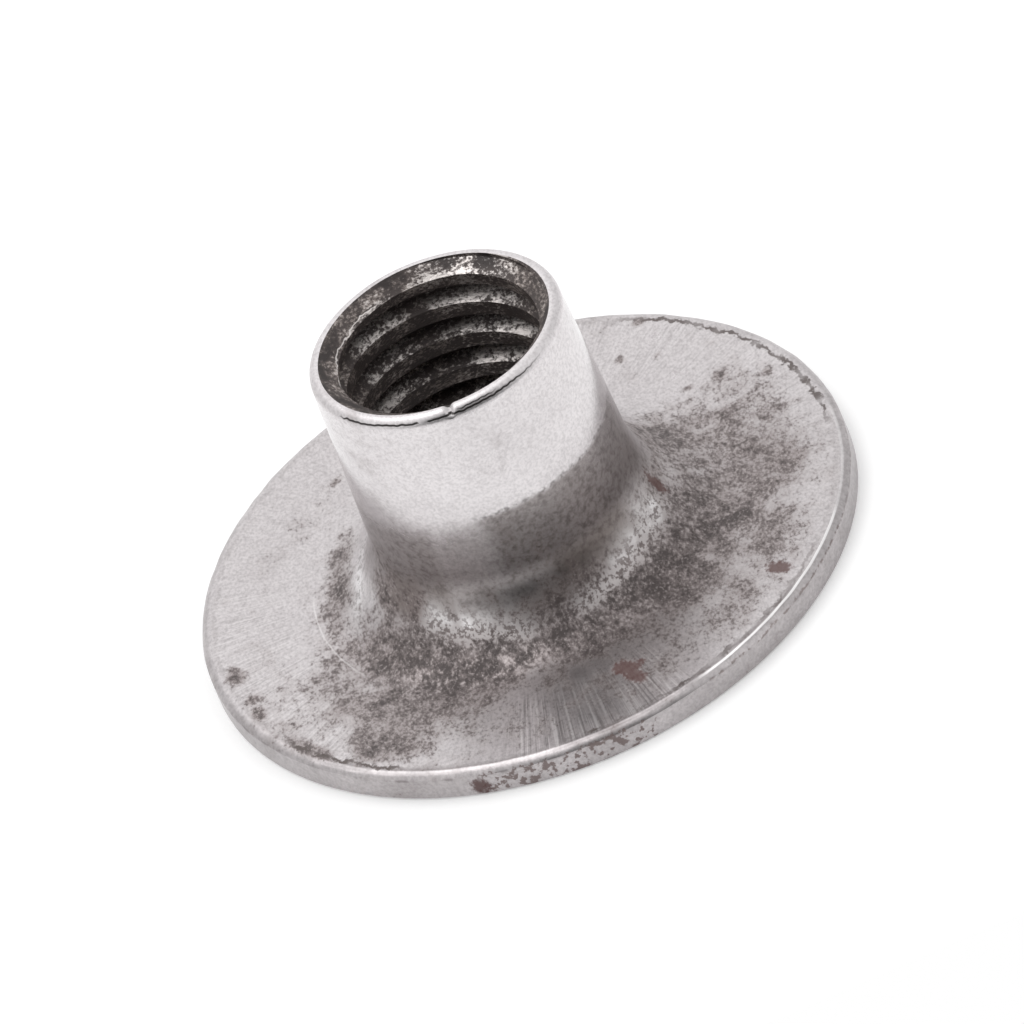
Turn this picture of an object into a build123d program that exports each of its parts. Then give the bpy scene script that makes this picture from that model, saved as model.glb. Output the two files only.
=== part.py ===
"""Round-base weld nut with a 3/8-16 thread, drawn from one sheet of steel.

The flat round flange turns up through a wide root radius into a slightly tapered
barrel. The underside of the same bend is a funnel that leads into the threaded bore.
The origin is the centre of the flange's underside, and +Z runs up the bore.
Lengths are in millimetres.
"""
import os
from math import radians, tan

from build123d import *

# Flange
flange_d = 27.0  # outside diameter
flange_t = 1.2  # thickness, which is the thickness of the sheet
edge_roll_w = 0.42  # width of the soft rolled edge that blanking left round the upper face
edge_roll_h = 0.2  # how far that edge drops below the upper face
under_edge_cut = 0.1  # small bevel on the lower edge

# Barrel
total_h = 12.3  # from the underside to the top of the lip
barrel_draft = 2.2  # degrees by which each side leans in towards the lip
wall_outside_thread = 0.44  # steel left outside the thread at the lip
lip_r = 0.35  # round on the outside of the lip
lip_r_most = 0.8  # the most of that steel's width that the round may take
root_r = 3.25  # outside radius where the barrel turns into the flange

# Threaded bore
thread_major_d = 9.525  # 3/8 inch
thread_depth = 0.66  # depth of a 16 per inch thread from its crest to its root
mouth_depth = 0.5  # height of the countersink at the lip, which opens to the thread's root

# What follows from those sizes
flange_r = flange_d / 2
mouth_r = thread_major_d / 2
bore_r = mouth_r - thread_depth
lip_outer_r = mouth_r + wall_outside_thread
lip_round = min(lip_r, lip_r_most * wall_outside_thread)
# the sheet keeps its thickness round the bend, so the funnel below is that much larger
funnel_r = root_r + flange_t
root_corner_r = lip_outer_r + (total_h - flange_t) * tan(radians(barrel_draft))

funnel_corner = (bore_r, 0)
lower_edge_corner = (flange_r, 0)
root_corner = (root_corner_r, flange_t)
lip_corner = (lip_outer_r, total_h)

with BuildPart() as weld_nut:
    # Half of the nut's section, with the axis of the bore as its left-hand limit
    with BuildSketch(Plane.XZ) as section:
        with BuildLine():
            Polyline(
                (mouth_r, total_h),
                (bore_r, total_h - mouth_depth),
                funnel_corner,
                lower_edge_corner,
                (flange_r, flange_t - edge_roll_h),
            )
            # the roll leaves the upper face smoothly and ends in a plain corner at the side
            TangentArc(
                (flange_r - edge_roll_w, flange_t),
                (flange_r, flange_t - edge_roll_h),
                tangent=(1, 0),
            )
            Polyline(
                (flange_r - edge_roll_w, flange_t),
                root_corner,
                lip_corner,
                (mouth_r, total_h),
            )
        make_face()
        for corner, radius in (
            (funnel_corner, funnel_r),
            (root_corner, root_r),
            (lip_corner, lip_round),
        ):
            nearest = section.vertices().sort_by_distance((*corner, 0))[0]
            fillet(nearest, radius=radius)
        lower_edge = section.vertices().sort_by_distance((*lower_edge_corner, 0))[0]
        chamfer(lower_edge, length=under_edge_cut)
    revolve(axis=Axis.Z)

weld_nut.part.label = "weld_nut"

os.makedirs("parts", exist_ok=True)
export_step(weld_nut.part, "parts/weld_nut.step")
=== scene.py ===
# %% [markdown]
# # A worn round-base weld nut
# The nut is one piece of sheet steel, drawn up into a barrel, tapped with a 3/8-16 thread and left uncoated.
# The imported CAD model is loaded first, as a fixed frame. It gives the sizes and the place of everything here.

# %% Load the frame
from math import atan2, cos, pi, radians, sin, tan

import bmesh
import bpy
import numpy as np
from mathutils import Matrix, Vector


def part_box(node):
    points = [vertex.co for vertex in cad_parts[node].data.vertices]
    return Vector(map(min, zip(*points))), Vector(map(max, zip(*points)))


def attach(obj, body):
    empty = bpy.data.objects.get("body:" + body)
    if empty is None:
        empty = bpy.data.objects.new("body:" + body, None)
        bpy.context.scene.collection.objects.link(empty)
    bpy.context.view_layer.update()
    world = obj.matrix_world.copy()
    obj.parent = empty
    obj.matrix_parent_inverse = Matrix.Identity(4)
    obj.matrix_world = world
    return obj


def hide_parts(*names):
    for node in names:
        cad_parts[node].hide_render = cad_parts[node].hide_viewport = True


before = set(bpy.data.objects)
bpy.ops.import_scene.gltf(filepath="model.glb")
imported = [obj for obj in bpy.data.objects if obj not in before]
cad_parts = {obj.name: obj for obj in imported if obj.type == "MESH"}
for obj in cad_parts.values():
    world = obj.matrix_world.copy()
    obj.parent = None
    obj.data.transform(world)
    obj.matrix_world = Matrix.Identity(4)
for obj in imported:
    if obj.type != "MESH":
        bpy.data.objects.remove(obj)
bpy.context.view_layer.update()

MM = 0.001
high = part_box("weld_nut")[1]
flange_r = high.x
total_h = high.z
print(f"flange {2 * flange_r / MM:.2f} mm across, nut {total_h / MM:.2f} mm high")

# %% [markdown]
# ## The camera
# The photo was taken from well above, with a long lens, and with the nut turned clockwise in the picture.
# A long lens flattens the view, so the camera stands 540 mm away with a 482 mm lens. Its tilt and roll were
# found from the ellipses of the flange and the lip. The camera is made first, because every later step is
# judged through it.

# %% Camera
flange_t = 1.2 * MM  # height of the flange's upper face
camera_elevation = radians(37.05)
camera_roll = radians(23.55)
camera_distance = 40 * flange_r
picture_px = 1024
sensor_mm = 36
focal_px = 13697.67
axis_px = (523.20, 540.14)  # where the axis meets the flange's upper face in the picture

to_camera = Vector((0, -cos(camera_elevation), sin(camera_elevation)))
level_right = Vector((1, 0, 0))
level_up = Vector((0, sin(camera_elevation), cos(camera_elevation)))
camera_x = cos(camera_roll) * level_right - sin(camera_roll) * level_up
camera_y = sin(camera_roll) * level_right + cos(camera_roll) * level_up
px_size = camera_distance / focal_px
aim = Vector((0, 0, flange_t))
aim -= (axis_px[0] - picture_px / 2) * px_size * camera_x
aim += (axis_px[1] - picture_px / 2) * px_size * camera_y

bpy.ops.object.select_all(action="DESELECT")
bpy.ops.object.camera_add()
camera = bpy.context.object
turn = Matrix((camera_x, camera_y, to_camera)).transposed()
camera.matrix_world = Matrix.LocRotScale(aim + camera_distance * to_camera, turn, None)
camera.data.sensor_width = sensor_mm
camera.data.lens = focal_px * sensor_mm / picture_px
camera.data.clip_start = 0.05
camera.data.clip_end = 5
bpy.context.scene.camera = camera
print(f"camera {camera_distance:.3f} m away, lens {camera.data.lens:.1f} mm")

# %% [markdown]
# ## Colours and nodes
# Colours are written as the hex values that a picture editor shows. Blender works in linear light, so one
# function turns them. Another small function adds a node with its settings and links, so that a material
# reads as a list of steps.


# %% Colour and node helpers
def linear(hex_colour):
    """The linear RGBA of an sRGB hex colour such as "C8C4C0"."""
    channels = [int(hex_colour[i:i + 2], 16) / 255 for i in (0, 2, 4)]
    return [c / 12.92 if c <= 0.04045 else ((c + 0.055) / 1.055) ** 2.4 for c in channels] + [1]


def add(tree, kind, inputs=None, **settings):
    """Adds a shader node. Each input is a value, an output socket, or a node, whose first live output is used."""
    node = tree.nodes.new("ShaderNode" + kind)
    for name, value in settings.items():
        setattr(node, name, value)
    for socket, source in (inputs or {}).items():
        if isinstance(source, bpy.types.Node):
            source = next(output for output in source.outputs if output.enabled)
        if isinstance(source, bpy.types.NodeSocket):
            tree.links.new(source, node.inputs[socket])
        else:
            node.inputs[socket].default_value = source
    return node


# %% [markdown]
# ## The studio
# Metal shows its surroundings more than its own colour. The photo's barrel is bright because it shows the white
# sheet below it, and the flange shows the bright wall behind it. The camera's side is darker: there the barrel's
# image in the flange is dark, with a light fan at each side, so two bright panels must stand left and right of the
# camera. So the world is a white tent with those two panels, open and dark below them and round the camera.
# The camera's own rays see plain white.

# %% World
world = bpy.data.worlds.new("studio")
world.use_nodes = True
tree = world.node_tree
tree.nodes.clear()
direction = add(tree, "TexCoord").outputs["Generated"]


def compass(side, elevation):
    """A direction that many degrees to the right of the camera's side, and that many above the floor."""
    a, e = radians(side), radians(elevation)
    return (sin(a) * cos(e), -cos(a) * cos(e), sin(e))


height = add(tree, "SeparateXYZ", {0: direction}).outputs["Z"]
tent = add(tree, "MapRange", {0: height, 1: 0.75, 2: 0.97, 3: 1.06, 4: 0.75}, interpolation_type="SMOOTHSTEP")
# each patch is soft from its outer to its inner angle, and has its own level
for towards, outer, inner, level in ((compass(-115, 30), 45, 20, 0.8), (compass(115, 30), 45, 20, 0.8),
                                     (compass(-57, 48), 34, 12, 1.25), (compass(57, 48), 34, 12, 1.25),
                                     (compass(0, -14), 70, 28, 0.05), (compass(0, 40), 36, 17, 0.15)):
    facing = add(tree, "VectorMath", {0: direction, 1: towards}, operation="DOT_PRODUCT")
    patch = add(tree, "MapRange", {0: facing, 1: cos(radians(outer)), 2: cos(radians(inner))},
                interpolation_type="SMOOTHSTEP")
    tent = add(tree, "Mix", {0: patch, 2: tent, 3: level}, data_type="FLOAT")
ray = add(tree, "LightPath")
strength = add(tree, "Mix", {0: ray.outputs["Is Camera Ray"], 2: tent, 3: 1.0}, data_type="FLOAT")
background = add(tree, "Background", {0: linear("FFFFFF"), 1: strength})
add(tree, "OutputWorld", {0: background})
bpy.context.scene.world = world
bpy.context.scene.view_settings.view_transform = "Standard"
print(f"the studio is made of {len(tree.nodes)} nodes")

# %% [markdown]
# The nut stands on a white sheet, which keeps its soft shadow. The sheet reaches only a little way towards the
# camera, because what lies beyond is what the barrel's foot shows dark. To the camera and in the metal the sheet
# glows a little, which stands for paper that is lit brighter than the nut.

# %% Floor
floor_reach = 0.4  # m, to each side and to the back
floor_front = 0.032  # m, towards the camera
floor_glow = 0.3
bpy.ops.object.select_all(action="DESELECT")
bpy.ops.mesh.primitive_plane_add(size=1, location=(0, 0, 0))
floor = bpy.context.object
floor.name = "white_sheet"
floor.scale = (2 * floor_reach, floor_reach + floor_front, 1)
floor.location.y = (floor_reach - floor_front) / 2
bpy.ops.object.transform_apply(location=True, rotation=False, scale=True)
paper = bpy.data.materials.new("white_paper")
paper.use_nodes = True
tree = paper.node_tree
tree.nodes.clear()
matt = add(tree, "BsdfDiffuse", {0: linear("E6E6E6")})
ray = add(tree, "LightPath")
seen = add(tree, "Math", {0: ray.outputs["Is Camera Ray"], 1: ray.outputs["Is Glossy Ray"]}, operation="MAXIMUM")
glow = add(tree, "Math", {0: seen, 1: floor_glow}, operation="MULTIPLY")
glow = add(tree, "Emission", {0: linear("FFFFFF"), 1: glow})
add(tree, "OutputMaterial", {0: add(tree, "AddShader", {0: matt, 1: glow})})
floor.data.materials.append(paper)
print(f"the sheet is {2 * floor_reach:.1f} m wide and ends {floor_front / MM:.0f} mm in front of the nut's axis")

# %% [markdown]
# One soft lamp from behind, on the left, gives the shadow its direction. The tent gives the rest of the light.

# %% Lamp
bpy.ops.object.select_all(action="DESELECT")
bpy.ops.object.light_add(type="AREA", location=(-0.10, 0.12, 0.45))
softbox = bpy.context.object
softbox.data.size = 0.3
softbox.data.energy = 0.6
softbox.rotation_euler = (-softbox.location).to_track_quat("-Z", "Y").to_euler()
print(f"the softbox hangs {softbox.location.length:.2f} m away")

# %% [markdown]
# ## The section
# The nut is round, so it is made as it is drawn and spun: half of its section is laid out in the upright plane
# and turned once round the axis. These small functions pick the section's points by their place.


# %% Picking points
def deselect(mode):
    bpy.ops.mesh.select_mode(type=mode)
    bpy.ops.mesh.select_all(action="DESELECT")


def select_points(test):
    """Selects, in edit mode, the vertices whose place passes the test, and the edges between them."""
    deselect("VERT")
    mesh = bpy.context.object.data
    edit = bmesh.from_edit_mesh(mesh)
    chosen = [v for v in edit.verts if test(v.co)]
    for v in chosen:
        v.select = True
    edit.select_flush(True)
    bmesh.update_edit_mesh(mesh)
    return len(chosen)


def near(place, reach=0.002 * MM):
    return lambda co: (co - Vector(place)).length < reach


def split_run(start, end, cuts):
    """Cuts the straight run between two points of the outline into cuts + 1 edges."""
    a, b = Vector(start), Vector(end)
    found = select_points(lambda co: near(a)(co) or near(b)(co))
    assert found == 2, f"the run has {found} of its 2 ends"
    bpy.ops.mesh.subdivide(number_cuts=cuts)


def at(r, z):
    return (r * MM, 0, z * MM)


# %% [markdown]
# The section starts as a flat ring of corners, given by their radius and height in mm. These are the sizes of the
# CAD model. The soft roll that blanking left on the flange's upper edge is laid out as part of an arc.

# %% Corners
flange_mm, top_mm, sheet_mm = flange_r / MM, total_h / MM, flange_t / MM
thread_r = 9.525 / 2  # the thread's root
thread_depth = 0.66
wall_w = 0.44  # steel left outside the thread at the lip
mouth_depth = 0.5  # the countersink
under_cut = 0.1  # the bevel on the flange's lower edge
roll_w, roll_h = 0.42, 0.2  # the roll on its upper edge
draft = radians(2.2)
bore_r = thread_r - thread_depth
lip_r = thread_r + wall_w
root_corner_r = lip_r + (top_mm - sheet_mm) * tan(draft)

corners = [(thread_r, top_mm), (bore_r, top_mm - mouth_depth), (bore_r, 0), (flange_mm - under_cut, 0),
           (flange_mm, under_cut)]
roll_r = (roll_w ** 2 + roll_h ** 2) / (2 * roll_h)
roll_turn = 2 * atan2(roll_h, roll_w)
roll_steps = 6
for i in range(roll_steps, -1, -1):
    a = roll_turn * i / roll_steps
    corners.append((flange_mm - roll_w + roll_r * sin(a), sheet_mm - roll_r * (1 - cos(a))))
corners += [(root_corner_r, sheet_mm), (lip_r, top_mm)]

bpy.ops.object.select_all(action="DESELECT")
bpy.ops.mesh.primitive_circle_add(vertices=len(corners), radius=1, fill_type="NGON")
nut = bpy.context.object
nut.name = "drawn_nut"
for v, (r, z) in zip(nut.data.vertices, corners):
    v.co = at(r, z)
print(f"{len(corners)} corners, the root's at {root_corner_r:.2f} mm")

# %% [markdown]
# Three corners are then bevelled: the funnel below, the root between flange and barrel, and the lip. A bevel is
# measured along the edges, so each radius is turned into that reach. Last, the long straight runs are cut into
# short edges, which gives the wear points to move.

# %% Bevels
root_round, lip_round = 3.25, 0.35
funnel_round = 4.45  # the root's radius and the sheet's thickness together
root_reach = root_round * tan(pi / 4 - draft / 2)
lip_reach = lip_round * tan(pi / 4 + draft / 2)
bpy.ops.object.mode_set(mode="EDIT")
for corner, reach, segments in (((bore_r, 0), funnel_round, 18), ((root_corner_r, sheet_mm), root_reach, 24),
                                ((lip_r, top_mm), lip_reach, 20)):
    select_points(near(at(*corner)))
    bpy.ops.mesh.bevel(affect="VERTICES", offset=reach * MM, segments=segments)
bpy.ops.mesh.select_all(action="SELECT")
bpy.ops.mesh.delete(type="ONLY_FACE")

barrel_foot = (root_corner_r - root_reach * sin(draft), sheet_mm + root_reach * cos(draft))
barrel_head = (lip_r + lip_reach * sin(draft), top_mm - lip_reach * cos(draft))
split_run(at(*barrel_foot), at(*barrel_head), 26)
split_run(at(root_corner_r + root_reach, sheet_mm), at(flange_mm - roll_w, sheet_mm), 22)
split_run(at(thread_r, top_mm), at(lip_r - lip_reach, top_mm), 2)
split_run(at(thread_r, top_mm), at(bore_r, top_mm - mouth_depth), 5)
split_run(at(flange_mm, under_cut), at(flange_mm, sheet_mm - roll_h), 7)
split_run(at(bore_r + funnel_round, 0), at(flange_mm - under_cut, 0), 8)
print(f"the outline has {len(bmesh.from_edit_mesh(nut.data).edges)} edges")

# %% [markdown]
# Spinning the section gives the plain nut. The Screw modifier does it in one go: a turn of 360 degrees with no
# rise makes the nut, and the same tool with a rise makes the thread below. With 480 steps a turn the flange's
# outline stays round in the picture. Every edge of a closed body belongs to just two faces, which is checked.

# %% Spin
steps_round = 480
merge_reach = 0.001 * MM


def wind(piece, turns, steps, rise):
    """Winds the active piece's outline round the Z axis, rising by a length each turn, and closes its seam."""
    winding = piece.modifiers.new("winding", "SCREW")
    winding.angle = 2 * pi
    winding.screw_offset = rise
    winding.iterations = turns
    winding.steps = winding.render_steps = steps
    winding.use_merge_vertices = True
    winding.merge_threshold = merge_reach
    bpy.ops.object.modifier_apply(modifier="winding")
    bpy.ops.object.mode_set(mode="EDIT")
    bpy.ops.mesh.select_all(action="SELECT")
    bpy.ops.mesh.remove_doubles(threshold=merge_reach)
    bpy.ops.mesh.normals_make_consistent(inside=False)


def open_edges(piece):
    return sum(1 for e in bmesh.from_edit_mesh(piece.data).edges if len(e.link_faces) != 2)


bpy.ops.object.mode_set(mode="OBJECT")
wind(nut, 1, steps_round, 0)
print(f"the turned nut has {open_edges(nut)} open edges")
bpy.ops.object.mode_set(mode="OBJECT")

# %% [markdown]
# ## The thread
# A 3/8-16 thread climbs 1.5875 mm a turn. It is cut as on the real nut, with a tap: one groove's outline is
# wound up a helix by the Screw modifier, trimmed flat at both ends, and taken out of the barrel by a Boolean. All
# lengths are in mm.

# %% Tap
pitch = 25.4 / 16
half_flat = pitch / 16
flank = tan(radians(30))
crest_at_zero = 11.2 - 7 * pitch  # a crest's middle at azimuth 0, seven turns below the one at 11.2
tap_turns, tap_steps = 9, 144
tap_low, tap_high = 2.0, 12.6  # where its ends are trimmed
core_r = bore_r - 0.08  # the tap's core stands clear of the bore
rounding = 0.05  # the small break where the groove meets the crest
ease_r, ease_z, root_ease = 0.04, 0.03, 0.02  # how far the groove's corners are eased
mouth = half_flat + (thread_r - bore_r) * flank
groove = [(core_r, -pitch / 2), (core_r, -mouth - rounding), (bore_r + ease_r, -mouth + ease_z),
          (thread_r - root_ease, -half_flat), (thread_r, -half_flat / 2), (thread_r, half_flat / 2),
          (thread_r - root_ease, half_flat), (bore_r + ease_r, mouth - ease_z), (core_r, mouth + rounding),
          (core_r, pitch / 2)]
bpy.ops.object.select_all(action="DESELECT")
bpy.ops.mesh.primitive_circle_add(vertices=len(groove), radius=1, fill_type="NOTHING")
tap = bpy.context.object
tap.name = "tap"
for v, (r, z) in zip(tap.data.vertices, groove):
    v.co = at(r, crest_at_zero + pitch / 2 + z)
bpy.ops.object.mode_set(mode="EDIT")
ends = (crest_at_zero * MM, (crest_at_zero + pitch) * MM)
select_points(lambda co: min(abs(co.z - end) for end in ends) < 1e-7)
bpy.ops.mesh.delete(type="EDGE_FACE")
bpy.ops.object.mode_set(mode="OBJECT")
wind(tap, tap_turns, tap_steps, pitch * MM)
for height, normal in ((tap_low, -1), (tap_high, 1)):
    bpy.ops.mesh.select_all(action="SELECT")
    bpy.ops.mesh.bisect(plane_co=(0, 0, height * MM), plane_no=(0, 0, normal), use_fill=True,
                        clear_outer=True, threshold=0.0001 * MM)
bpy.ops.mesh.select_all(action="SELECT")
bpy.ops.mesh.normals_make_consistent(inside=False)
print(f"the tap has {open_edges(tap)} open edges")
bpy.ops.object.mode_set(mode="OBJECT")

# %% [markdown]
# The tap is then taken out of the nut. Only the exact solver keeps the body closed where the groove runs out into
# the countersink, so the open edges are counted again.

# %% Cut the thread
bpy.ops.object.select_all(action="DESELECT")
nut.select_set(True)
bpy.context.view_layer.objects.active = nut
cut = nut.modifiers.new("cut", "BOOLEAN")
cut.operation = "DIFFERENCE"
cut.solver = "EXACT"
cut.object = tap
bpy.ops.object.modifier_apply(modifier="cut")
bpy.data.objects.remove(tap)
bpy.ops.object.mode_set(mode="EDIT")
print(f"threaded, the nut has {open_edges(nut)} open edges")
bpy.ops.object.mode_set(mode="OBJECT")
nut.data.calc_loop_triangles()
print(f"and {len(nut.data.loop_triangles)} triangles")

# %% [markdown]
# ## Wear in the metal
# The real nut isn't perfect. Its lip is a little lower at the far side, has a nick, and carries a torn line just
# below its outer edge, where the metal was folded over. The flange isn't quite flat, and its edge is uneven.
# These show in the outline and in the reflections, so they are made in the mesh, by moving its points.

# %% Points as arrays
mesh = nut.data
points = np.empty(len(mesh.vertices) * 3)
mesh.vertices.foreach_get("co", points)
points = points.reshape(-1, 3) / MM
print(f"{len(points)} points, from {points[:, 2].min():.2f} to {points[:, 2].max():.2f} mm high")


def cylinder(points):
    """Radius in mm, azimuth in degrees with the camera's side at -90, and height in mm."""
    return np.hypot(points[:, 0], points[:, 1]), np.degrees(np.arctan2(points[:, 1], points[:, 0])), points[:, 2]


def ramp(value, start, end):
    t = np.clip((value - start) / (end - start), 0, 1)
    return t * t * (3 - 2 * t)


def wobble(azimuth, fewest, most, seed):
    """A random wave round the nut, about -1 to 1, with that many ripples a turn."""
    chance = np.random.default_rng(seed)
    total = np.zeros_like(azimuth)
    counts = np.arange(fewest, most + 1)
    for n in counts:
        total += chance.normal() * np.cos(n * np.radians(azimuth) + chance.uniform(0, 2 * pi))
    return total / np.sqrt(len(counts))


def arc_from(azimuth, place, r):
    """Distance in mm along the round, from a place given by its azimuth."""
    return np.radians((azimuth - place + 180) % 360 - 180) * r


# %% [markdown]
# The lip drops by 0.13 mm from the near side to the far side, and a shallow nick crosses it near the middle of the
# near side.

# %% Lip
half_drop = 0.065
uneven = 0.012
nick_azimuth, nick_w, nick_depth = -97, 0.13, 0.16
r, azimuth, z = cylinder(points)
head = ramp(z, 11.0, 12.0)
slope = half_drop * (1 + np.sin(np.radians(azimuth))) + uneven * (1.5 + np.clip(wobble(azimuth, 2, 9, 1), -1.5, 1.5))
points[:, 2] -= head * slope
nick = np.exp(-(arc_from(azimuth, nick_azimuth, 5.0) / nick_w) ** 2)
points[:, 2] -= ramp(z, 11.75, 12.25) * nick_depth * nick
print(f"the lip now lies between {z[z > 12].min():.2f} and {z.max():.2f} mm")

# %% [markdown]
# The torn line runs along the near half of the lip, with gaps, and a shorter one lies above it beside the nick. Both
# are real grooves in the mesh, two hundredths of a millimetre deep and one. Their dark bottom is a colour that
# follows the same grooves.

# %% Torn line
torn_height, torn_w, torn_depth = 12.07, 0.036, 0.024
second_above, second_w, second_depth = 0.10, 0.022, 0.012
on_round = (r > thread_r + 0.1) & (z > 11.6)
torn_at = torn_height + uneven * wobble(azimuth, 6, 26, 2) + uneven * wobble(azimuth, 40, 110, 3)
torn_reach = ramp(azimuth, -158, -146) * ramp(azimuth, -30, -80)
gaps = ramp(wobble(azimuth, 8, 30, 4), -1.6, -0.9)
torn = on_round * torn_reach * gaps * np.exp(-((z - torn_at) / torn_w) ** 2)
second_reach = ramp(azimuth, -96, -91) * ramp(azimuth, -70, -80)
second = on_round * second_reach * np.exp(-((z - torn_at - second_above) / second_w) ** 2)
outward = points[:, :2] / np.maximum(r, 1)[:, None]
points[:, :2] -= outward * (torn_depth * torn + second_depth * second)[:, None]
print(f"the torn line takes in {int((torn > 0.3).sum())} points")

# %% [markdown]
# The press left the flange a hundredth of a millimetre out of flat, which bends the reflections in it. Its edge is
# worn a little unevenly, and a fine groove lies where the die's rounding began, 8.66 mm from the axis.

# %% Flange
out_of_flat = 0.012
worn_side, worn_top = 0.012, 0.010
die_r, die_w, die_depth = 8.66, 0.05, 0.012
top_face = (z > sheet_mm - 0.06) & (r > 9)
points[:, 2] += top_face * ramp(r, 9, 12.5) * out_of_flat * wobble(azimuth, 2, 6, 5)
edge = ramp(r, 12.9, 13.3) * ramp(z, 0.5, 1.0)
points[:, :2] -= outward * (edge * worn_side * np.clip(1.2 + wobble(azimuth, 8, 60, 6), 0, 2.5))[:, None]
points[:, 2] -= edge * worn_top * np.clip(1.2 + wobble(azimuth, 10, 80, 7), 0, 2.5)
die_groove = (z > 1.1) * (z < 1.4) * np.exp(-((r - die_r) / die_w) ** 2)
points[:, 2] -= die_depth * die_groove
mesh.vertices.foreach_set("co", (points * MM).ravel())
mesh.update()
print(f"the flange's face lies between {points[top_face, 2].min():.3f} and {points[top_face, 2].max():.3f} mm")

# %% [markdown]
# ## Where the stains are
# Oxide has bloomed where the nut was handled and lay damp, mostly round the foot of the barrel on the near side.
# Each stain is dabbed on like a soft brush, at its place on the nut as seen from above. A dab only says how thick
# the oxide is there, as an attribute of the mesh, and the material turns that into a mottled stain.


# %% Brushes
def paint(name, values):
    layer = mesh.attributes.new(name, "FLOAT", "POINT")
    layer.data.foreach_set("value", np.clip(values, 0, 1).astype(np.float32))
    print(f"{name}: {float((values > 0.3).mean()):.0%} of the points are above 0.3")


def dab(x, y, across, along, turned, strength):
    """A soft spot centred at x, y in mm, with its half widths, turned by some degrees."""
    c, s = cos(radians(turned)), sin(radians(turned))
    u = ((points[:, 0] - x) * c + (points[:, 1] - y) * s) / across
    v = ((points[:, 1] - y) * c - (points[:, 0] - x) * s) / along
    return strength * np.exp(-(u ** 2 + v ** 2))


def sector(middle, half_width, soft):
    """1 within so many degrees of an azimuth, falling to 0 over a soft edge."""
    off = np.abs((azimuth - middle + 180) % 360 - 180)
    return ramp(off, half_width + soft, half_width)


# 1 on the flange's face and the flare, and 0 on the flange's side and the upper barrel
upper = ramp(z, sheet_mm - 0.35, sheet_mm - 0.1) * ramp(z, 6.5, 4.0)
print(f"{float((upper > 0.5).mean()):.0%} of the points can take a stain")

# %% [markdown]
# Each row is a dab: its place in mm, its half widths across and along, its turn in degrees, and its strength. Under
# the dabs lie a faint ring and a broad bloom on the near side. Red rust sits in a few small spots, of which one is on
# the flange's side.

# %% Oxide and rust
dabs = (
    # front left
    (-6.3, -4.3, 1.1, 0.6, -20, 0.75), (-5.0, -5.2, 1.8, 0.9, -35, 0.32), (-3.4, -6.2, 1.3, 0.45, -20, 0.85),
    (-7.3, -7.6, 1.8, 1.1, -40, 0.36), (-10.75, -7.1, 1.1, 0.3, -57, 1.0),
    (-6.8, -6.5, 1.9, 0.8, -35, 0.42), (-5.2, -6.6, 1.6, 0.8, -20, 0.48), (-8.8, -5.6, 1.3, 0.6, -20, 0.32),
    (-8.8, -8.3, 0.55, 0.9, 10, 0.70), (-7.9, -9.0, 1.1, 0.8, -40, 0.50), (-3.6, -8.0, 2.2, 0.8, 0, 0.30),
    (-9.0, -6.0, 2.2, 2.2, 0, 0.16), (-8.0, -3.0, 1.2, 1.5, 0, 0.18),
    # front
    (-4.9, -3.7, 0.9, 0.7, 45, 0.35), (-5.7, -2.0, 0.6, 1.5, -10, 0.42), (-2.5, -6.8, 1.9, 0.7, 0, 0.50),
    (0.2, -7.0, 2.4, 0.8, 0, 0.42), (0.9, -8.3, 1.6, 0.5, 8, 0.38),
    (2.4, -6.7, 1.4, 0.7, 10, 0.50), (4.2, -6.1, 1.3, 0.7, 35, 0.52), (5.1, -7.4, 1.8, 0.8, 33, 0.42),
    # right
    (5.1, -5.0, 1.3, 0.9, 45, 0.26), (7.1, -2.7, 1.2, 1.2, 0, 0.46), (8.4, -4.2, 0.75, 0.35, 15, 0.60),
    (6.7, -4.2, 1.4, 1.2, 40, 0.18), (10.1, -1.8, 1.5, 1.7, 0, 0.12), (11.3, -2.1, 0.4, 0.4, 0, 0.45),
    (7.4, 1.8, 1.4, 1.7, 0, 0.22), (6.2, 2.3, 0.9, 1.2, 30, 0.35), (11.3, 0.3, 1.0, 1.6, 0, 0.08),
    # left and back
    (-6.9, 3.4, 0.8, 1.7, -17, 0.52), (-7.6, 1.0, 0.7, 1.5, -17, 0.50), (-7.3, 6.4, 1.3, 1.0, 30, 0.22),
    (-5.9, 8.5, 0.5, 0.2, 40, 0.50), (-12.5, -0.7, 0.35, 0.55, 0, 0.9), (-12.2, -2.5, 0.3, 0.3, 0, 0.8),
    (-12.25, -3.4, 0.25, 0.4, 0, 0.8), (-9.2, 1.4, 1.0, 1.6, 0, 0.17), (7.7, 10.2, 0.3, 0.3, 0, 0.8),
    # back right
    (9.0, 5.0, 3.0, 2.5, 0, 0.05), (8.4, 4.85, 0.25, 0.2, 0, 0.70), (7.9, 7.7, 0.2, 0.2, 0, 0.55),
    (9.8, 4.8, 0.2, 0.25, 0, 0.60), (11.5, 3.8, 0.2, 0.2, 0, 0.55), (6.4, 8.4, 0.2, 0.3, 0, 0.55))
ring_r, ring_w = 7.5, 0.8
ring = sector(-98, 54, 22) * np.exp(-((r - ring_r) / ring_w) ** 2)
beyond = ramp(1.12 * (points[:, 0] - 5.4) + points[:, 1], 7.4, 5.4)  # the stains at the right end along a line
broad = (0.24 * sector(-75, 85, 30) + 0.12 * sector(-15, 35, 20) * beyond) * ramp(r, 5.3, 6.2) * ramp(r, 13.6, 11.0)
below = 0.35 * sector(-82, 12, 14) * np.exp(-((r - 6.3) / 0.5) ** 2)  # close under the flare, at the front
paint("stain", upper * (sum(dab(*d) for d in dabs) + 0.28 * ring + broad + below))
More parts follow.
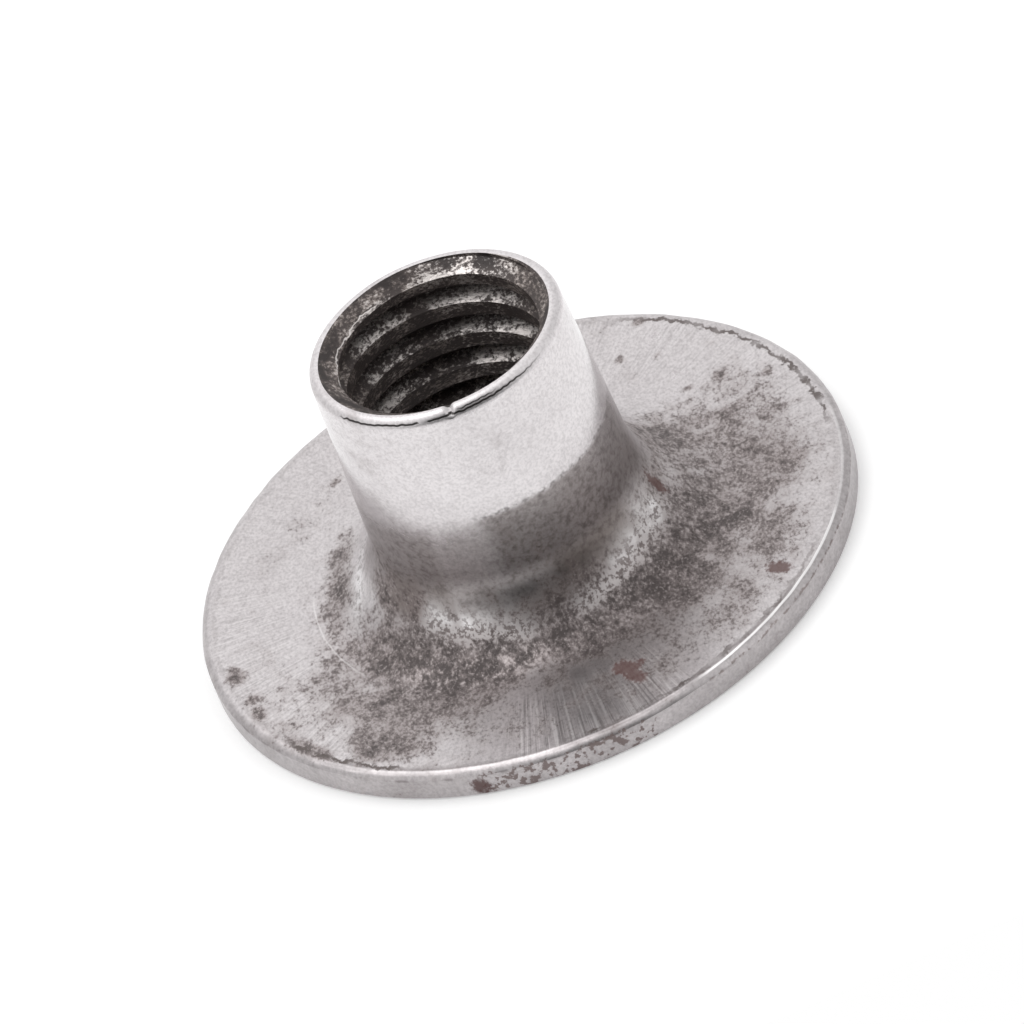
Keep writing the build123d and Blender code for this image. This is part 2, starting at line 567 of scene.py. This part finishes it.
rust_dabs = ((1.8, -10.45, 0.5, 0.8, 0, 0.8), (1.3, -9.9, 0.45, 0.35, 0, 0.6), (2.1, -11.2, 0.35, 0.4, 0, 0.6),
             (2.4, -10.1, 0.35, 0.25, 0, 0.5), (8.7, -8.2, 0.75, 0.42, -36, 1.0), (5.7, -2.05, 0.30, 0.42, 25, 1.0))
wall_rust = (z < 1.1) * np.exp(-(arc_from(azimuth, -113, flange_mm) / 0.55) ** 2 - ((z - 0.5) / 0.5) ** 2) * 0.9
paint("rust", upper * sum(dab(*d) for d in rust_dabs) + wall_rust)

# %% [markdown]
# The film says how grey and dull the skin is, and in front of the barrel it also stands in for painted shade. It lies
# in front of the barrel, on the flange's side and on the roll of its edge, where it is painted shade that narrows the
# roll's highlight and leaves a hairline clear. The bright places are painted highlights: three strokes at the left,
# and a band in two parts where the flare meets the flange.

# %% Film, painted shade and painted highlights
# film and painted shade: these dabs darken the near and right parts of the flange
film_and_shade_dabs = ((0.0, -8.9, 7.0, 1.6, 0, 0.15), (8.5, -5.5, 4.0, 3.5, 40, 0.20), (-0.2, -11.6, 1.7, 1.6, 4, 0.33),
             (10.4, -1.0, 2.4, 3.4, 0, 0.26), (5.0, -7.4, 2.6, 1.2, 33, 0.28), (-6.5, -6.0, 3.0, 2.0, -40, 0.20))
on_wall = (r > 13.25) * (z < 0.98)
near_roll = sector(-95, 45, 10)  # on the near side the painted shade reaches further up the roll
# the roll's painted shade leaves out a hairline, where its highlight shows
hairline = 0.75 * np.exp(-((r - 13.18) / 0.04) ** 2)
roll_shade = near_roll * ramp(r, 13.00, 13.08) * (1 - hairline) * (1 - 0.55 * ramp(r, 13.20, 13.32))
on_roll = (z > 0.9) * (0.34 * (1 - near_roll) * ramp(r, 13.18, 13.30) + roll_shade)
paint("film_and_shade", upper * (sum(dab(*d) for d in film_and_shade_dabs) + 0.5 * ring) + 0.45 * on_wall + on_roll)
# painted highlights: three bright strokes at the left, and a bright band in two parts where the flare meets the
# flange
highlight_dabs = ((-5.9, 2.4, 0.28, 0.9, -22, 0.65), (-6.5, 1.0, 0.28, 1.0, -22, 0.65), (-7.0, -0.3, 0.3, 0.7, -22, 0.6))
highlight_band_w = 0.38
highlight_band_r = 6.12 + 0.45 * np.exp(-((azimuth + 90) / 40) ** 2)  # further out at the front
highlight_band = (sector(-120, 18, 8) + sector(-54, 24, 10)) * np.exp(-((r - highlight_band_r) / highlight_band_w) ** 2)
paint("painted_highlight", upper * (sum(dab(*d) for d in highlight_dabs) + highlight_band))

# %% [markdown]
# The torn line's attribute follows its grooves. The rest goes by azimuth: how dark the painted shade on the barrel's
# foot is, where the flange's side is etched, where a dark line runs round its edge, where it is scratched with
# painted sheen in its fans, and where painted highlights run along its rim and the die's groove.

# %% Foot, edge and scratches
paint("torn", torn + 0.8 * second)
# painted shade on the barrel's foot and the flare, standing in for their reflection of the flange and the dark side
foot_shade_share = 0.22 + 0.32 * sector(-90, 72, 20) + 0.08 * sector(-82, 24, 22) - 0.31 * sector(-115, 9, 8)
low_flare_shade = 0.36 * (sector(-133, 22, 16) + sector(-62, 14, 12)) - 0.12 * sector(-98, 6, 12)
foot_shade_share += low_flare_shade * ramp(z, 4.6, 3.4)  # darker still low on the flare, but for a gap at the front
paint("foot_shade", foot_shade_share)
etched = (r > 13.2) * ramp(z, 1.12, 1.00) * (sector(-98, 13, 6) + 0.25 * sector(-75, 20, 30))
paint("etched", etched)
edge_stain = 0.12 + 0.8 * sector(27, 26, 6) + 0.9 * sector(-140, 11, 3)
edge_stain += 0.3 * sector(-57, 17, 6) + 0.35 * sector(-84, 10, 6)
# most at the front, where the scratches also carry the painted sheen of the flange's fans
scratches_and_sheen = 0.12 + 0.9 * sector(-90, 13, 7) + 0.25 * sector(-168, 26, 12) + 0.15 * sector(38, 34, 15)
paint("scratches_and_sheen", upper * ramp(r, 9.0, 10.4) * ramp(r, 13.15, 12.95) * scratches_and_sheen)
# painted highlight lines: along the die's groove at the left, and along the rim
on_ring = (r < 10) * 0.45 * sector(-174, 12, 12)
paint("highlight_lines", on_ring + (r > 12) * (sector(-50, 18, 6) + 0.35 * sector(-18, 14, 8) + 0.15 * sector(-118, 14, 6)))
paint("edge_stain", np.clip(edge_stain * (1 + 0.5 * wobble(azimuth, 20, 90, 9)), 0, 1))

# %% [markdown]
# ## Drawn steel
# Uncoated low-carbon sheet steel, drawn in a press and then tumbled. The material is built up as the real surface
# was: first the clean satin metal, then scratches that run outwards from the middle, then the grey film and the oxide
# that damp air left, with painted highlights and shade laid in among them. Oxide is rough and hardly metallic, so it
# stays dark whatever the metal round it shows.

# %% Steel: places and attributes
steel = bpy.data.materials.new("drawn_steel")
steel.use_nodes = True
tree = steel.node_tree
tree.nodes.clear()
place = add(tree, "VectorMath", {0: add(tree, "TexCoord").outputs["Object"], 3: 1 / MM}, operation="SCALE")  # in mm
axes = add(tree, "SeparateXYZ", {0: place})
up = axes.outputs["Z"]
plan = add(tree, "CombineXYZ", {0: axes.outputs["X"], 1: axes.outputs["Y"]})
radius = add(tree, "VectorMath", {0: plan}, operation="LENGTH")
heading = add(tree, "VectorMath", {0: plan}, operation="NORMALIZE")
stain, rust, film_and_shade, painted_highlight, torn, foot_shade, etched, edge_stain, scratches_and_sheen, highlight_lines = (
    add(tree, "Attribute", attribute_name=name).outputs["Fac"]
    for name in ("stain", "rust", "film_and_shade", "painted_highlight", "torn", "foot_shade", "etched", "edge_stain", "scratches_and_sheen", "highlight_lines"))
on_barrel = add(tree, "MapRange", {0: up, 1: 5.2, 2: 7.2})
on_lip = add(tree, "MapRange", {0: up, 1: 11.8, 2: 12.0})
print(f"{len(tree.nodes)} nodes with the places and attributes")

# %% [markdown]
# Four noises give the grain, specks, clumps and clouds. Blotches in a noise are about half a cell wide, so its
# scale is half over the width in mm. The grain of the real sheet is finer than 0.05 mm, which is about the least
# that the picture can show, so here it is drawn a little coarser, at 0.06 mm. All four are drawn 1.4 times as long
# from front to back, which evens out how the photo's view shortens them.

# %% Steel: noise
stretched = add(tree, "VectorMath", {0: place, 1: (1, 0.72, 1)}, operation="MULTIPLY")
fine, speck, clump, cloud = (
    add(tree, "TexNoise", {"Vector": stretched, "Scale": 0.5 / width, "Detail": detail, "Roughness": 0.62})
    for width, detail in ((0.06, 2), (0.13, 2), (0.40, 4), (1.5, 3)))
# the scratches' noise is laid round the nut: 0.045 mm wide at a radius of 11 mm, and 40 times as long
scratch_w, scratch_r = 0.045, 11.0
along = add(tree, "CombineXYZ", {2: add(tree, "Math", {0: radius, 1: 1 / 40}, operation="MULTIPLY")})
around = add(tree, "VectorMath", {0: heading, 3: scratch_r}, operation="SCALE")
around = add(tree, "VectorMath", {0: around, 1: along}, operation="ADD")
lines = add(tree, "TexNoise", {"Vector": around, "Scale": 0.5 / scratch_w, "Detail": 2, "Roughness": 0.6})
print(f"{len(tree.nodes)} nodes with the noises")

# %% [markdown]
# Each stain's strength is added to the noises, and the sum is cut off at a threshold. So a weak stain shows only as
# scattered specks where the noises are high, and a strong one closes up, as oxide does. The haze has a soft
# threshold, thin oxide a harder one, and thick oxide the highest.

# %% Steel: stains
haze = add(tree, "Math", {0: clump, 1: stain}, operation="ADD")
haze = add(tree, "Math", {0: cloud, 1: 0.8, 2: haze}, operation="MULTIPLY_ADD")  # 0.9 in the mean where clean
haze = add(tree, "MapRange", {0: haze, 1: 0.95, 2: 1.52}, interpolation_type="SMOOTHSTEP")
mottle = add(tree, "MapRange", {0: stain, 1: 0.0, 2: 0.25, 3: -0.16, 4: 0.0})  # keeps the clean metal clean
for part, share in ((fine, 0.62), (speck, 0.58), (clump, 0.65), (cloud, 0.40), (stain, 0.31), (on_barrel, -0.2),
                    (painted_highlight, -0.22)):
    mottle = add(tree, "Math", {0: part, 1: share, 2: mottle}, operation="MULTIPLY_ADD")  # 0.96 where clean
thin_oxide = add(tree, "MapRange", {0: mottle, 1: 1.15, 2: 1.40}, interpolation_type="SMOOTHSTEP")
thick_oxide = add(tree, "MapRange", {0: mottle, 1: 1.24, 2: 1.58}, interpolation_type="SMOOTHSTEP")
flecks = add(tree, "MapRange", {0: fine, 1: 0.43, 2: 0.31, 4: haze}, interpolation_type="SMOOTHSTEP")
print(f"{len(tree.nodes)} nodes with the stains")

# %% [markdown]
# The clean metal has grain and blotches, which are weaker on the burnished barrel, and its film, with the shade
# painted into it, is patchy. Red rust and the etched side are cut off at a threshold like the oxide, from a coarser
# noise that also makes lines ragged.

# %% Steel: grain, film with painted shade, and rust
grain_most = add(tree, "MapRange", {0: on_barrel, 3: 1.0, 4: 0.75})
grain = add(tree, "MapRange", {0: fine, 1: 0.38, 2: 0.68, 4: grain_most}, interpolation_type="SMOOTHSTEP")
blotch_most = add(tree, "MapRange", {0: on_barrel, 3: 1.0, 4: 0.45})
blotch = add(tree, "MapRange", {0: speck, 1: 0.40, 2: 0.68, 4: blotch_most}, interpolation_type="SMOOTHSTEP")
patchy = add(tree, "MapRange", {0: cloud, 1: 0.3, 2: 0.7, 3: 0.5, 4: 1.1})
film_and_shade = add(tree, "Math", {0: film_and_shade, 1: patchy}, operation="MULTIPLY")

ragged = add(tree, "Math", {0: speck, 1: 0.6}, operation="MULTIPLY")
ragged = add(tree, "Math", {0: clump, 1: 0.5, 2: ragged}, operation="MULTIPLY_ADD")  # about 0.55 in the mean
red = add(tree, "Math", {0: rust, 1: ragged}, operation="ADD")
red = add(tree, "Math", {0: fine, 1: 0.5, 2: red}, operation="MULTIPLY_ADD")
red_rust = add(tree, "MapRange", {0: red, 1: 1.12, 2: 1.50, 4: 0.95}, interpolation_type="SMOOTHSTEP")

pocked = add(tree, "Math", {0: etched, 1: 0.22, 2: ragged}, operation="MULTIPLY_ADD")
pocked = add(tree, "MapRange", {0: pocked, 1: 0.765, 2: 0.825, 4: 0.8}, interpolation_type="SMOOTHSTEP")
print(f"{len(tree.nodes)} nodes with the rust")

# %% [markdown]
# The foot of the barrel is painted darker than the part above it, as a painted reflection of the flange. A fine
# ragged dark border 7 mm up, the painted reflection of the flange's edge, blurs at the left.

# %% Steel: foot
ragged_height = add(tree, "Math", {0: clump, 1: 0.4, 2: up}, operation="MULTIPLY_ADD")
left_side = (cos(radians(-140)), sin(radians(-140)), 0)
to_left = add(tree, "VectorMath", {0: heading, 1: left_side}, operation="DOT_PRODUCT")
blurred = add(tree, "MapRange", {0: to_left, 1: 0.78, 2: 0.94})
film_end = add(tree, "MapRange", {0: blurred, 3: 7.05, 4: 6.20})
# painted shade below the ragged border
painted_foot_shade = add(tree, "MapRange", {0: ragged_height, 1: 7.30, 2: film_end, 4: foot_shade}, interpolation_type="SMOOTHSTEP")
painted_foot_shade = add(tree, "MapRange", {0: radius, 1: 6.45, 2: 6.05, 4: painted_foot_shade}, interpolation_type="SMOOTHSTEP")
foot_shade_specks = add(tree, "MapRange", {0: speck, 1: 0.45, 2: 0.75, 4: painted_foot_shade})
off_border = add(tree, "Math", {0: ragged_height, 1: 7.22}, operation="SUBTRACT")
off_border = add(tree, "Math", {0: off_border}, operation="ABSOLUTE")
edge_reflection_share = add(tree, "MapRange", {0: blurred, 3: foot_shade, 4: 0.0})
# the dark border line is a painted reflection of the flange's edge
painted_edge_reflection = add(tree, "MapRange", {0: off_border, 1: 0.11, 2: 0.03, 4: edge_reflection_share}, interpolation_type="SMOOTHSTEP")
painted_edge_reflection = add(tree, "MapRange", {0: speck, 1: 0.42, 2: 0.62, 4: painted_edge_reflection}, interpolation_type="SMOOTHSTEP")
print(f"{len(tree.nodes)} nodes with the foot")

# %% [markdown]
# Round the top of the flange's edge a dark line has stayed where a rag doesn't reach, and beside it a painted
# highlight runs along the rim as a bright line, with a dotted dark one below it. Another painted highlight, a very
# thin bright line, runs along the die's groove at the left. For each line, the distance from its middle is worked out
# first, in mm.

# %% Steel: edge
ragged_radius = add(tree, "Math", {0: ragged, 1: radius}, operation="ADD")
wavy_radius = add(tree, "Math", {0: speck, 1: 0.12, 2: radius}, operation="MULTIPLY_ADD")
ragged_up = add(tree, "Math", {0: ragged, 1: -0.25, 2: up}, operation="MULTIPLY_ADD")
off_edge, off_rim, off_ring, off_low = (
    add(tree, "Math", {0: add(tree, "Math", {0: value, 1: middle}, operation="SUBTRACT")}, operation="ABSOLUTE")
    for value, middle in ((ragged_radius, 13.50), (radius, 13.20), (wavy_radius, 8.80), (ragged_up, 0.84)))
on_top = add(tree, "MapRange", {0: up, 1: 0.95, 2: 1.05})
edge_line = add(tree, "MapRange", {0: off_edge, 1: 0.14, 2: 0.05, 4: edge_stain}, interpolation_type="SMOOTHSTEP")
edge_line = add(tree, "Math", {0: edge_line, 1: on_top}, operation="MULTIPLY")
# the bright lines on the rim and along the die's groove are painted highlights; a dotted dark line follows below the
# rim's one
rim = add(tree, "MapRange", {0: off_rim, 1: 0.07, 2: 0.03, 4: highlight_lines}, interpolation_type="SMOOTHSTEP")
rim = add(tree, "Math", {0: rim, 1: on_top}, operation="MULTIPLY")
ring_line = add(tree, "MapRange", {0: off_ring, 1: 0.05, 2: 0.02, 4: highlight_lines}, interpolation_type="SMOOTHSTEP")
below_rim = add(tree, "MapRange", {0: off_low, 1: 0.06, 2: 0.02, 4: highlight_lines}, interpolation_type="SMOOTHSTEP")
below_rim = add(tree, "MapRange", {0: radius, 1: 13.2, 2: 13.3, 4: below_rim})
below_rim = add(tree, "MapRange", {0: speck, 1: 0.44, 2: 0.56, 4: below_rim})
print(f"{len(tree.nodes)} nodes with the edge")

# %% [markdown]
# The flange was wiped outwards over grit, so fine dark and light lines fan out from the middle, most of all at the
# front, where their light and dark lines also stand in for painted sheen in the flange's fans. The band where the
# flare meets the flange is a painted highlight, and dark pits lie in it. The torn line's bottom is dark.

# %% Steel: scratches and pits
dark_lines = add(tree, "MapRange", {0: lines, 1: 0.53, 2: 0.68, 4: scratches_and_sheen}, interpolation_type="SMOOTHSTEP")
light_lines = add(tree, "MapRange", {0: lines, 1: 0.48, 2: 0.36, 4: scratches_and_sheen}, interpolation_type="SMOOTHSTEP")
# dark pits in the painted highlight band
pits = add(tree, "Math", {0: fine, 1: speck}, operation="ADD")
pits = add(tree, "MapRange", {0: pits, 1: 0.96, 2: 1.10}, interpolation_type="SMOOTHSTEP")
band_pits = add(tree, "Math", {0: pits, 1: painted_highlight}, operation="MULTIPLY")
fold = add(tree, "MapRange", {0: torn, 1: 0.2, 2: 0.6})
print(f"{len(tree.nodes)} nodes with the scratches")

# %% [markdown]
# The colours are laid over each other in the order in which they came to lie on the metal, with the painted
# highlights and shade laid in among them. The clean satin steel is light grey with a hint of pink. Film, with its
# painted shade, is a darker grey, thin oxide grey-brown, thick oxide nearly black, and rust a dull red. Painted
# highlights are near white, and the painted shade on the barrel's foot is a dark grey-brown.

# %% Steel: colour, from the clean metal up
skin = add(tree, "Mix", {0: on_barrel, 6: linear("D8D3D4"), 7: linear("E8E4E5")}, data_type="RGBA")
# painted light among these colours: the shade in the film, the painted shade on the foot with its specks and its dark
# edge line, the highlight band and strokes, the scratches' sheen, and the highlights on the rim and the die's groove
for share, most, colour in (
        (grain, 0.36, "8E898A"), (blotch, 0.20, "8E898A"), (cloud, 0.32, "A09A9B"), (film_and_shade, 0.9, "7B7575"),
        (dark_lines, 0.5, "5F5B5A"), (light_lines, 0.6, "EDEAEA"), (painted_foot_shade, 1.0, "766D69"),
        (foot_shade_specks, 0.8, "4C4340"), (painted_highlight, 1.0, "F8F6F7"), (haze, 0.65, "8A7F7D"), (band_pits, 0.8, "6A605E"),
        (thin_oxide, 0.60, "726765"), (thick_oxide, 0.83, "3A3130"), (flecks, 0.30, "BEB6B4"),
        (painted_edge_reflection, 0.8, "4A4340"), (edge_line, 0.9, "564C49"), (rim, 0.9, "F6F4F4"), (ring_line, 0.7, "F2EFEF"),
        (below_rim, 0.7, "7A6F6C"), (pocked, 1.0, "746461"), (red_rust, 0.9, "5A3B37"), (fold, 0.95, "2B2625")):
    share = add(tree, "Math", {0: share, 1: most}, operation="MULTIPLY")
    skin = add(tree, "Mix", {0: share, 6: skin, 7: linear(colour)}, data_type="RGBA")

# %% [markdown]
# Bare steel is fully metallic, with a roughness of about 0.3 on the flange, and 0.17 on the barrel, which the die
# has burnished. The lip is duller. Oxide is rough and dull, so it takes the metallic value down. The bump is only for
# what is too small for the mesh: grain, pits and scratches, 0.015 mm deep at most.

# %% Steel: finish
oxide = add(tree, "Math", {0: haze, 1: 0.30}, operation="MULTIPLY")
for part, share in ((thin_oxide, 0.2), (thick_oxide, 0.3), (red_rust, 0.9), (pocked, 0.6), (edge_line, 0.5)):
    oxide = add(tree, "Math", {0: part, 1: share, 2: oxide}, operation="MULTIPLY_ADD")
oxide = add(tree, "Math", {0: oxide, 1: 0.95}, operation="MINIMUM")
metallic = add(tree, "Math", {0: 1.0, 1: oxide}, operation="SUBTRACT")
rough = add(tree, "MapRange", {0: cloud, 1: 0.3, 2: 0.7, 3: 0.27, 4: 0.34})
for part, share in ((on_barrel, -0.13), (on_lip, 0.27), (oxide, 0.25), (film_and_shade, 0.06), (painted_foot_shade, 0.06)):
    rough = add(tree, "Math", {0: part, 1: share, 2: rough}, operation="MULTIPLY_ADD")
relief = add(tree, "Math", {0: fine, 1: 0.18}, operation="MULTIPLY")
for part, share in ((thick_oxide, -0.5), (band_pits, -0.5), (dark_lines, -0.3), (pocked, -0.6)):
    relief = add(tree, "Math", {0: part, 1: share, 2: relief}, operation="MULTIPLY_ADD")
bump = add(tree, "Bump", {"Strength": 0.5, "Distance": 0.015 * MM, "Height": relief})
shader = add(tree, "BsdfPrincipled", {"Base Color": skin, "Metallic": metallic, "Roughness": rough, "Normal": bump})
add(tree, "OutputMaterial", {0: shader})
print(f"the steel is made of {len(tree.nodes)} nodes")

# %% [markdown]
# ## Tapped steel
# The bore was cut by a tap and has kept old oil and dirt. Two noises are drawn out a little along the thread. The
# compass sides at the back say where glints lie: most at the right, fewer at the left, and along the burr that the
# countersink left on the first crest, where a highlight is painted.

# %% Bore: places and noise
tapped = bpy.data.materials.new("tapped_steel_with_old_oil")
tapped.use_nodes = True
tree = tapped.node_tree
tree.nodes.clear()
place = add(tree, "VectorMath", {0: add(tree, "TexCoord").outputs["Object"], 3: 1 / MM}, operation="SCALE")  # in mm
axes = add(tree, "SeparateXYZ", {0: place})
up = axes.outputs["Z"]
plan = add(tree, "CombineXYZ", {0: axes.outputs["X"], 1: axes.outputs["Y"]})
heading = add(tree, "VectorMath", {0: plan}, operation="NORMALIZE")
facing = add(tree, "SeparateXYZ", {0: add(tree, "NewGeometry").outputs["Normal"]}).outputs["Z"]
drawn_out = add(tree, "VectorMath", {0: place, 1: (0.55, 0.55, 1)}, operation="MULTIPLY")
fine, clump = (
    add(tree, "TexNoise", {"Vector": drawn_out, "Scale": 0.5 / width, "Detail": detail, "Roughness": 0.65})
    for width, detail in ((0.045, 3), (0.30, 3)))
to_right, to_left, to_burr = (
    add(tree, "VectorMath", {0: heading, 1: (cos(radians(side)), sin(radians(side)), 0)}, operation="DOT_PRODUCT")
    for side in (60, 118, 146))
entry = add(tree, "MapRange", {0: up, 1: 11.72, 2: 11.84})  # 1 on the countersink
print(f"{len(tree.nodes)} nodes with the places and noises")

# %% [markdown]
# Light, fully metallic specks glint through the grime, most at the back right and fewer at the left; where the
# thread's flanks face up they are a painted highlight. The burr is a thin painted highlight line.

# %% Bore: glints and burr
right_glints_most = add(tree, "MapRange", {0: entry, 3: 0.13, 4: 0.085})
right_glints = add(tree, "MapRange", {0: to_right, 1: 0.78, 2: 0.98, 4: right_glints_most}, interpolation_type="SMOOTHSTEP")
left_glints = add(tree, "MapRange", {0: to_left, 1: 0.90, 2: 0.99, 4: 0.10}, interpolation_type="SMOOTHSTEP")
left_glints = add(tree, "MapRange", {0: entry, 3: left_glints, 4: 0.0})
# painted highlight: more glints where the thread's flanks face up
up_facing_highlight = add(tree, "MapRange", {0: facing, 1: 0.0, 2: 0.7, 4: 0.09})
glint = add(tree, "Math", {0: fine, 1: 0.55}, operation="MULTIPLY")
for part, share in ((clump, 0.45), (right_glints, 1.0), (left_glints, 1.0), (up_facing_highlight, 1.0)):
    glint = add(tree, "Math", {0: part, 1: share, 2: glint}, operation="MULTIPLY_ADD")
glint = add(tree, "MapRange", {0: glint, 1: 0.65, 2: 0.78}, interpolation_type="SMOOTHSTEP")
# painted highlight along the burr
burr_height = add(tree, "Math", {0: clump, 1: 0.35, 2: up}, operation="MULTIPLY_ADD")
off_burr = add(tree, "Math", {0: burr_height, 1: 11.93}, operation="SUBTRACT")
off_burr = add(tree, "Math", {0: off_burr}, operation="ABSOLUTE")
burr_highlight = add(tree, "MapRange", {0: to_burr, 1: 0.79, 2: 0.87})
burr_highlight = add(tree, "MapRange", {0: off_burr, 1: 0.026, 2: 0.010, 4: burr_highlight}, interpolation_type="SMOOTHSTEP")
print(f"{len(tree.nodes)} nodes with the glints")

# %% [markdown]
# The grime is brown-black, with a lighter crust in spots, soot in the countersink, and a dull gloss. Only the glints
# and the burr's painted highlight are fully metallic.

# %% Bore: colour and finish
crust = add(tree, "Math", {0: clump, 1: 0.5}, operation="MULTIPLY")
for part, share in ((fine, 0.6), (entry, -0.01)):
    crust = add(tree, "Math", {0: part, 1: share, 2: crust}, operation="MULTIPLY_ADD")
crust = add(tree, "MapRange", {0: crust, 1: 0.52, 2: 0.70}, interpolation_type="SMOOTHSTEP")
grime = add(tree, "Mix", {0: crust, 6: linear("4C4442"), 7: linear("A0958F")}, data_type="RGBA")
soot = add(tree, "MapRange", {0: clump, 1: 0.52, 2: 0.40, 4: entry}, interpolation_type="SMOOTHSTEP")
for share, most, colour in ((entry, 0.05, "857A78"), (soot, 0.75, "302A29"), (glint, 0.9, "CFC9C6"),
                            (burr_highlight, 0.9, "D8D2CF")):
    share = add(tree, "Math", {0: share, 1: most}, operation="MULTIPLY")
    grime = add(tree, "Mix", {0: share, 6: grime, 7: linear(colour)}, data_type="RGBA")
bare_metal = add(tree, "Math", {0: glint, 1: burr_highlight}, operation="MAXIMUM")
metallic = add(tree, "MapRange", {0: bare_metal, 3: 0.35, 4: 1.0})
rough = add(tree, "MapRange", {0: bare_metal, 3: 0.5, 4: 0.3})
bump = add(tree, "Bump", {"Strength": 0.8, "Distance": 0.03 * MM, "Height": fine})
wall = add(tree, "BsdfPrincipled", {"Base Color": grime, "Metallic": metallic, "Roughness": rough, "Normal": bump})
add(tree, "OutputMaterial", {0: wall})
print(f"the tapped steel is made of {len(tree.nodes)} nodes")

# %% [markdown]
# ## Put the materials on
# The faces inside the bore's largest radius take the tapped steel. Edges sharper than 35 degrees stay sharp.

# %% Finish on the mesh
mesh.materials.clear()
mesh.materials.append(steel)
mesh.materials.append(tapped)
for face in mesh.polygons:
    middle = face.center / MM
    inside = middle.xy.length < thread_r and middle.z > tap_low
    face.material_index = 1 if inside else 0
bpy.ops.object.shade_smooth_by_angle(angle=radians(35))
print(f"{sum(face.material_index for face in mesh.polygons)} of {len(mesh.polygons)} faces are tapped steel")

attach(nut, "root")
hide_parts("weld_nut")
